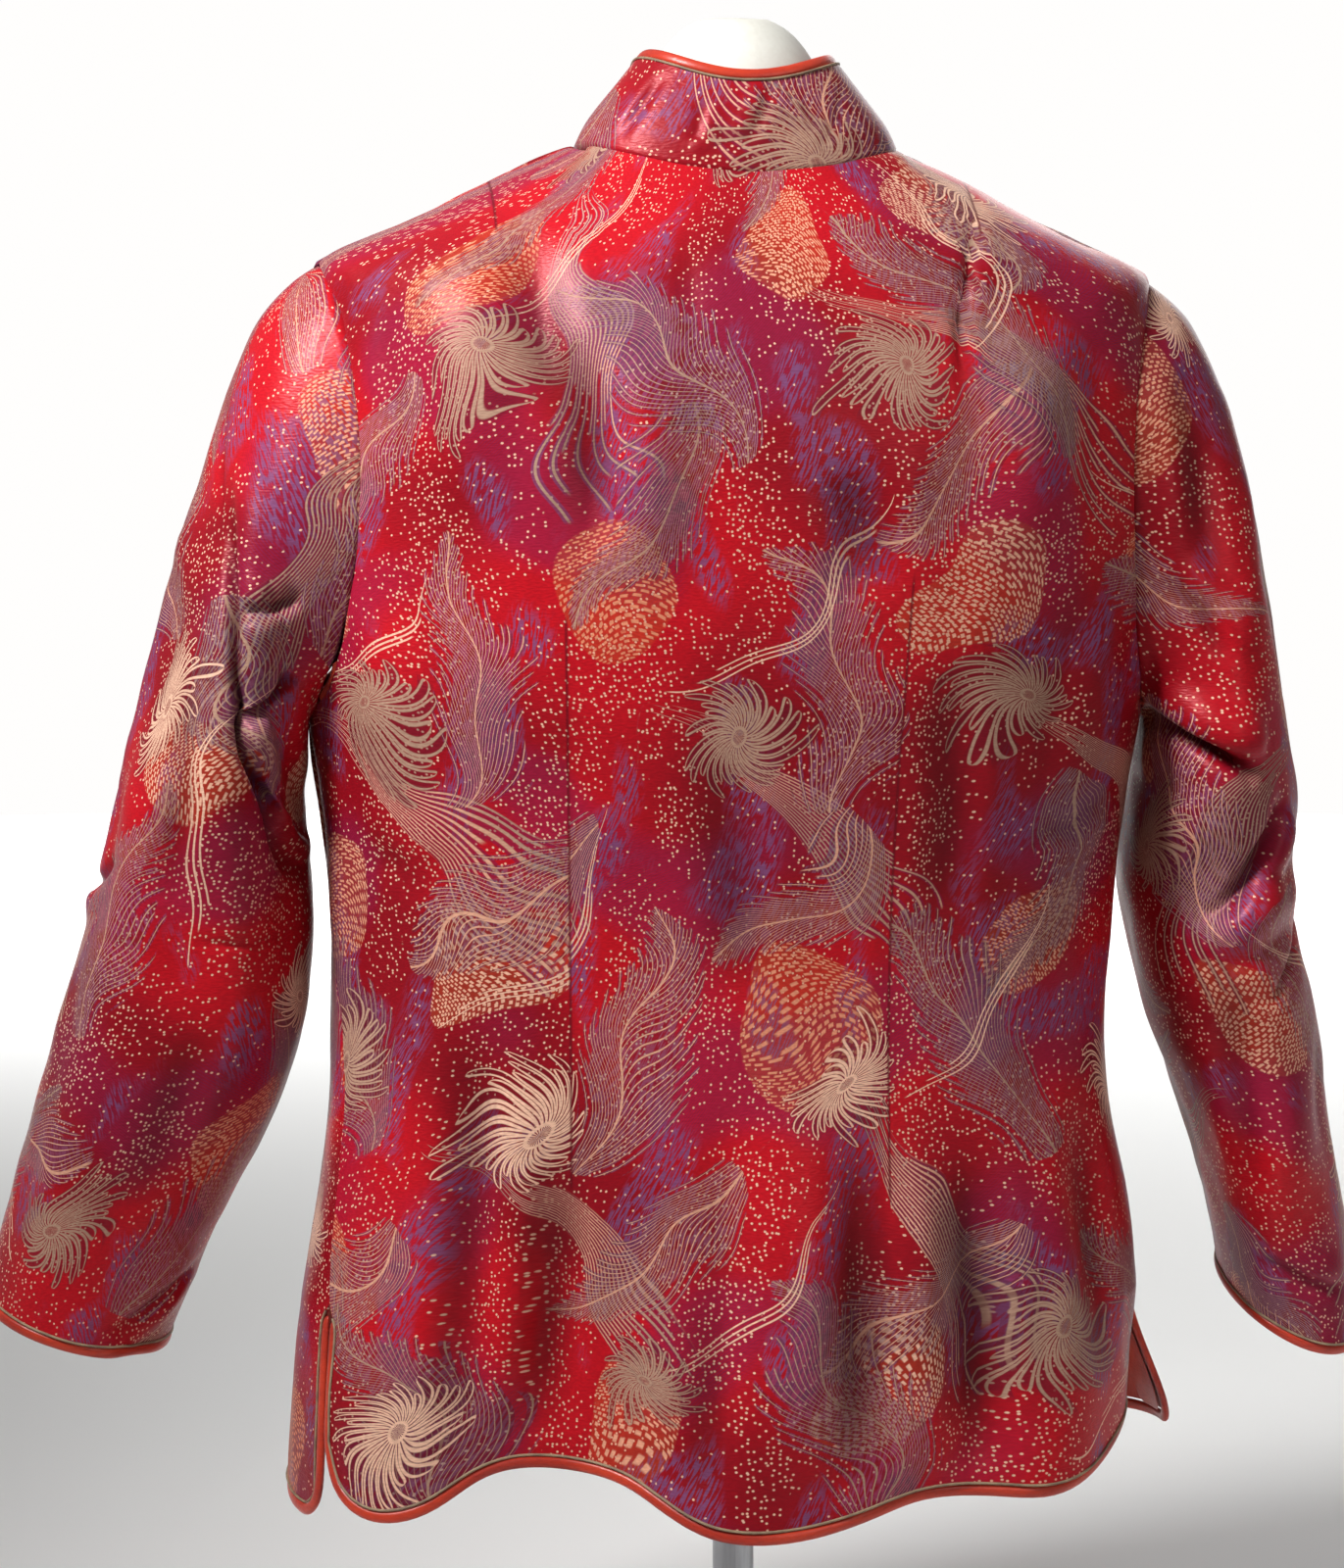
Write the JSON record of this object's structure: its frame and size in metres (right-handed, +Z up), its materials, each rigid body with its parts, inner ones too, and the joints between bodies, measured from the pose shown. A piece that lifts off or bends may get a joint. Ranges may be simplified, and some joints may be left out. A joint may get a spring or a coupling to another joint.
{
  "type": "stand-collar jacket on a dress form",
  "caption": "Crimson patterned-satin jacket with a stand collar, set-in sleeves, bound edges, side vents and cord fastenings, worn by a limbless dress form on a round steel stand.",
  "frame": {"origin": "centre of the underside of the stand's round base, where it rests on the floor", "axes": "+Z up, -Y out of the jacket's front, +X to the wearer's left"},
  "size_m": [0.6893, 0.28, 0.8622],
  "materials": {
    "brocade": "crimson satin with a woven pattern",
    "satin": "plain orange-red satin",
    "cord": "rolled satin cord",
    "form": "smooth ivory",
    "steel": "brushed"
  },
  "bodies": {
    "root": {"back": "brocade", "binding_back": "satin", "binding_collar": "satin", "binding_cuff_left": "satin", "binding_cuff_right": "satin", "binding_front_left": "satin", "binding_front_right": "satin", "collar": "brocade", "dress_form": "form", "facing_vent_back_left": "satin", "facing_vent_back_right": "satin", "facing_vent_front_left": "satin", "facing_vent_front_right": "satin", "frog_1_knot": "cord", "frog_1_left": "cord", "frog_1_right": "cord", "frog_2_knot": "cord", "frog_2_left": "cord", "frog_2_right": "cord", "frog_3_knot": "cord", "frog_3_left": "cord", "frog_3_right": "cord", "frog_4_knot": "cord", "frog_4_left": "cord", "frog_4_right": "cord", "frog_5_knot": "cord", "frog_5_left": "cord", "frog_5_right": "cord", "front_left": "brocade", "front_right": "brocade", "sleeve_left": "brocade", "sleeve_right": "brocade", "stand_base": "steel", "stand_pole": "steel"}
  },
  "joints": []
}
